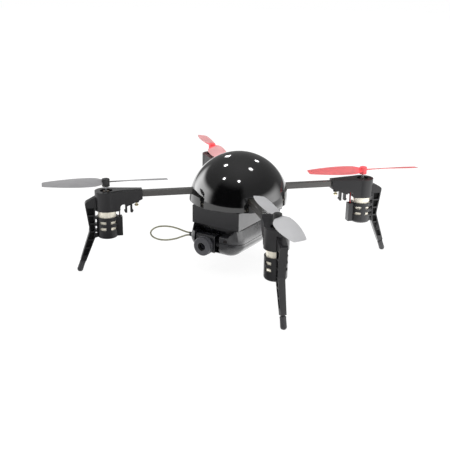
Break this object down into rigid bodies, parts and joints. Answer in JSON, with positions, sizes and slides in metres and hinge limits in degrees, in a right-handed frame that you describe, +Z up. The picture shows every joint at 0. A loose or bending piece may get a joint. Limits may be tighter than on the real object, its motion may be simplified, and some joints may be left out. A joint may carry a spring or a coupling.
{
  "type": "mini palm drone",
  "caption": "Palm-size quadcopter with a glossy dome, slim arms, motors in windowed leg cages, splayed legs, a slide-out battery and a clip-on camera with a tilting lens.",
  "frame": {"origin": "on the ground, under the middle of the dome and midway between the four motors", "axes": "+Z up; -Y is the front, the way the camera looks; +X is the drone's left"},
  "size_m": [0.1326, 0.1326, 0.0543],
  "materials": {
    "smoke_blade": "translucent, moulded",
    "red_blade": "translucent, moulded",
    "steel": "ground",
    "copper": "enamelled wire",
    "motor_steel": "nickel plated",
    "arm_grey": "satin",
    "satin_black": "satin, moulded",
    "boot_rubber": "matte",
    "magnet": "ground",
    "brass": "turned",
    "ivory": "moulded",
    "yellow_zinc": "yellow zinc plated",
    "red_sleeve": "extruded sleeve",
    "black_sleeve": "extruded sleeve",
    "gloss_black": "high gloss",
    "board_green": "lacquered",
    "chip_black": "moulded",
    "button_red": "moulded",
    "clear_lamp": "clear moulding",
    "bay_grey": "satin, moulded",
    "cell_wrap": "foil wrap",
    "camera_black": "semi gloss, moulded",
    "lamp_window": "dark window",
    "lens_grey": "satin",
    "lens_glass": "coated",
    "aerial_wire": "lacquered"
  },
  "bodies": {
    "airframe": {"motor_can_front_right": "motor_steel", "motor_can_front_left": "motor_steel", "motor_can_rear_left": "motor_steel", "motor_can_rear_right": "motor_steel", "arm_tube_front_right": "arm_grey", "arm_tube_front_left": "arm_grey", "arm_tube_rear_left": "arm_grey", "arm_tube_rear_right": "arm_grey", "motor_mount_front_right": "satin_black", "motor_mount_front_left": "satin_black", "motor_mount_rear_left": "satin_black", "motor_mount_rear_right": "satin_black", "landing_leg_front_right": "satin_black", "landing_leg_front_left": "satin_black", "landing_leg_rear_left": "satin_black", "landing_leg_rear_right": "satin_black", "foot_boot_front_right": "boot_rubber", "foot_boot_front_left": "boot_rubber", "foot_boot_rear_left": "boot_rubber", "foot_boot_rear_right": "boot_rubber", "motor_magnets": "magnet", "motor_bushes": "brass", "motor_end_caps": "ivory", "arm_screws": "yellow_zinc", "red_wires": "red_sleeve", "black_wires": "black_sleeve", "main_frame": "satin_black", "frame_screws": "steel", "flight_board": "board_green", "board_chips": "chip_black", "button_switch": "chip_black", "status_lamp": "clear_lamp", "battery_bay": "bay_grey", "battery_contacts": "brass"},
    "rotor_front_right": {"propeller_front_right": "smoke_blade", "motor_shaft_front_right": "steel", "motor_winding_front_right": "copper"},
    "rotor_front_left": {"propeller_front_left": "smoke_blade", "motor_shaft_front_left": "steel", "motor_winding_front_left": "copper"},
    "rotor_rear_left": {"propeller_rear_left": "red_blade", "motor_shaft_rear_left": "steel", "motor_winding_rear_left": "copper"},
    "rotor_rear_right": {"propeller_rear_right": "red_blade", "motor_shaft_rear_right": "steel", "motor_winding_rear_right": "copper"},
    "canopy": {"dome": "gloss_black"},
    "battery": {"battery_pack": "cell_wrap", "battery_cap": "satin_black"},
    "camera": {"camera_upper_shell": "camera_black", "camera_lower_shell": "camera_black", "camera_screws": "steel", "camera_board": "board_green", "camera_lamp": "lamp_window", "aerial_crimp": "satin_black", "aerial_loop": "aerial_wire"},
    "lens": {"lens_pod": "camera_black", "lens_barrel": "lens_grey", "lens_glass": "lens_glass"},
    "button": {"power_button": "button_red"}
  },
  "joints": [
    {"name": "spin_front_right", "type": "hinge", "parent": "airframe", "child": "rotor_front_right", "pos_m": [-0.04455, -0.04455, 0.0387], "axis": [0, 0, 1], "continuous": true},
    {"name": "spin_front_left", "type": "hinge", "parent": "airframe", "child": "rotor_front_left", "pos_m": [0.04455, -0.04455, 0.0387], "axis": [0, 0, 1], "continuous": true},
    {"name": "spin_rear_left", "type": "hinge", "parent": "airframe", "child": "rotor_rear_left", "pos_m": [0.04455, 0.04455, 0.0387], "axis": [0, 0, 1], "continuous": true},
    {"name": "spin_rear_right", "type": "hinge", "parent": "airframe", "child": "rotor_rear_right", "pos_m": [-0.04455, 0.04455, 0.0387], "axis": [0, 0, 1], "continuous": true},
    {"name": "dome_lift", "type": "slide", "parent": "airframe", "child": "canopy", "axis": [0, 0, 1], "range_m": [0, 0.03]},
    {"name": "battery_slide", "type": "slide", "parent": "airframe", "child": "battery", "axis": [0, 1, 0], "range_m": [0, 0.045]},
    {"name": "camera_slide", "type": "slide", "parent": "airframe", "child": "camera", "axis": [0, -1, 0], "range_m": [0, 0.035]},
    {"name": "lens_tilt", "type": "hinge", "parent": "camera", "child": "lens", "pos_m": [-0.0046, -0.0196, 0.0142], "axis": [1, 0, 0], "range_deg": [-10, 30]},
    {"name": "button_press", "type": "slide", "parent": "airframe", "child": "button", "axis": [0, 0, 1], "range_m": [0, 0.0005], "stiffness_N_per_m": 600, "springref_m": -0.0005}
  ]
}
